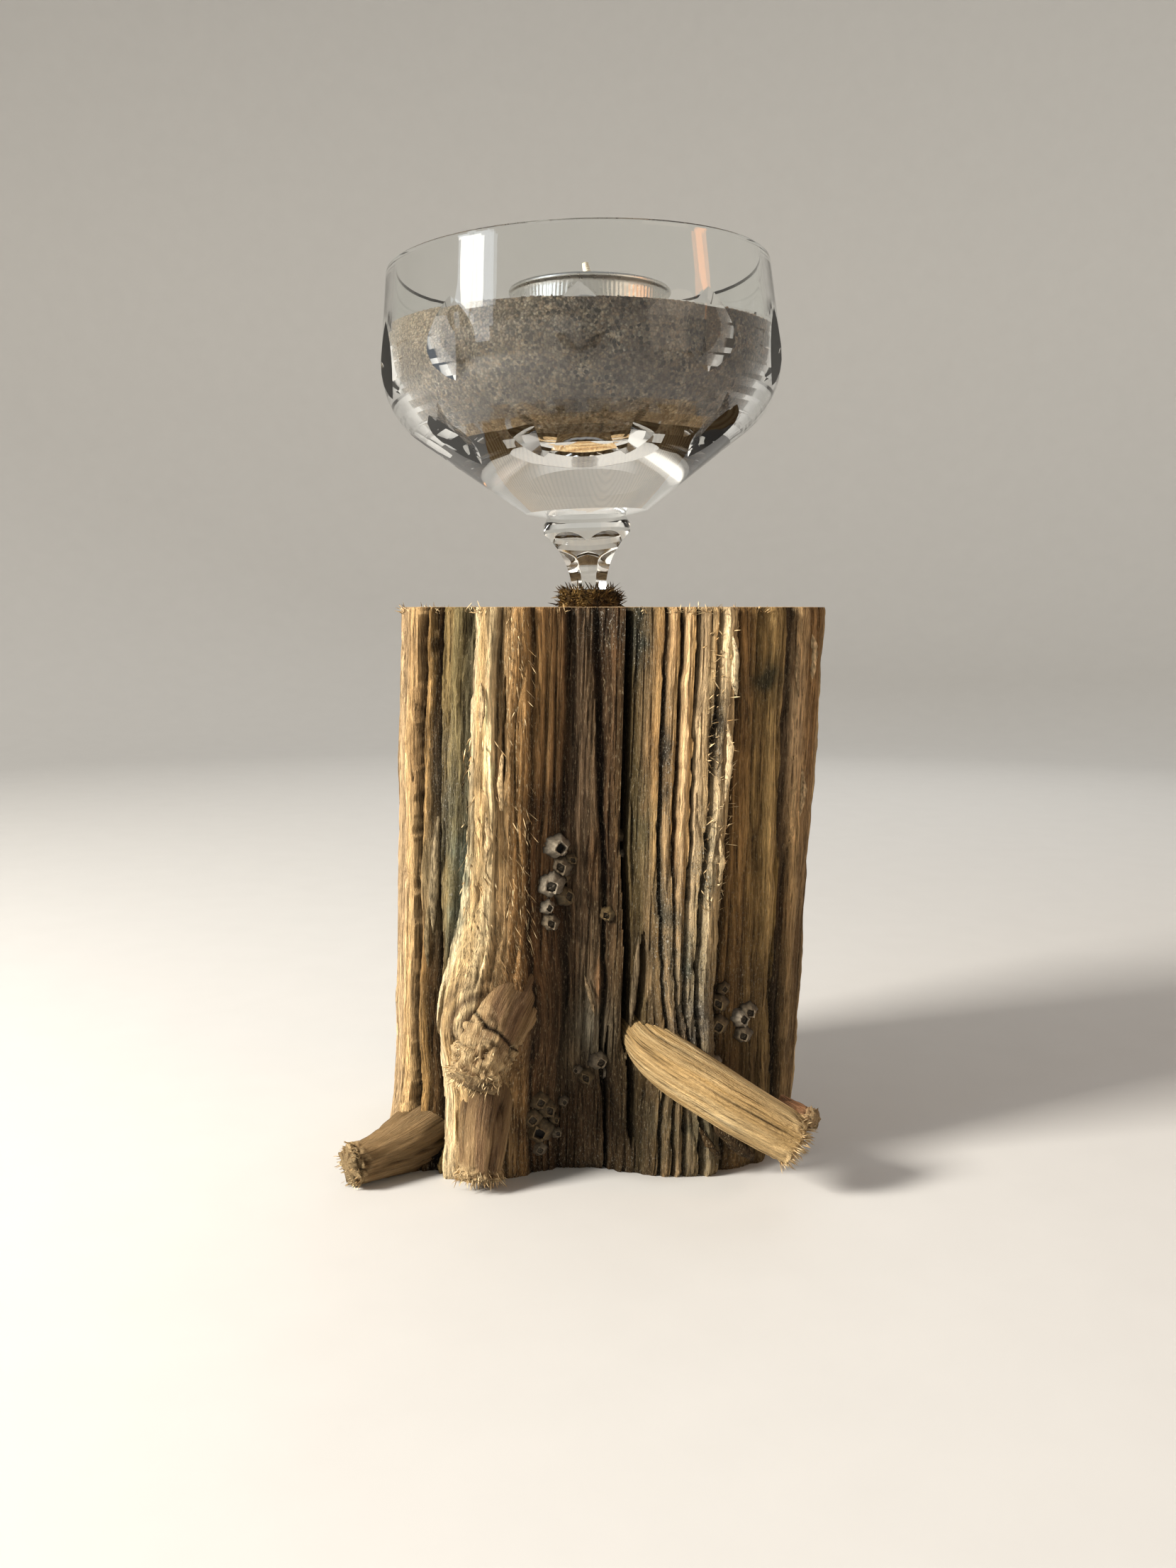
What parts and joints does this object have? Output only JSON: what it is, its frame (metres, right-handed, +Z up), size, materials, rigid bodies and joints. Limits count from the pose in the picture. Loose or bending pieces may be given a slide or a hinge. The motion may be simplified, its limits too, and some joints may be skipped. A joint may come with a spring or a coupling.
{
  "type": "tealight holder",
  "caption": "Cut crystal coupe part filled with sand, set by its stem in a driftwood block with a moss ruff; a tealight stands on the sand and lifts out.",
  "frame": {"origin": "on the floor, at the sawn foot of the block, straight under the socket that holds the coupe", "axes": "+Z up, -Y towards the front of the block with the barnacles and the branch stub, +X to the right"},
  "size_m": [0.1117, 0.0975, 0.208],
  "materials": {
    "driftwood": "matte",
    "glue": "satin",
    "moss": "matte",
    "crystal": "polished",
    "sand": "matte",
    "aluminium": "satin",
    "wax": "satin",
    "tinplate": "satin",
    "wick": "matte",
    "barnacle": "matte"
  },
  "bodies": {
    "root": {"driftwood_block": "driftwood", "socket_glue": "glue", "moss_collar": "moss", "coupe": "crystal", "sand_fill": "sand", "barnacles_upper": "barnacle", "barnacles_middle": "barnacle", "barnacles_lower": "barnacle", "barnacles_right": "barnacle", "barnacle_lone": "barnacle"},
    "tealight": {"cup": "aluminium", "wax": "wax", "sustainer": "tinplate", "wick": "wick"}
  },
  "joints": [
    {"name": "tealight_lift", "type": "slide", "parent": "root", "child": "tealight", "axis": [0, 0, 1], "range_m": [0, 0.06]}
  ]
}
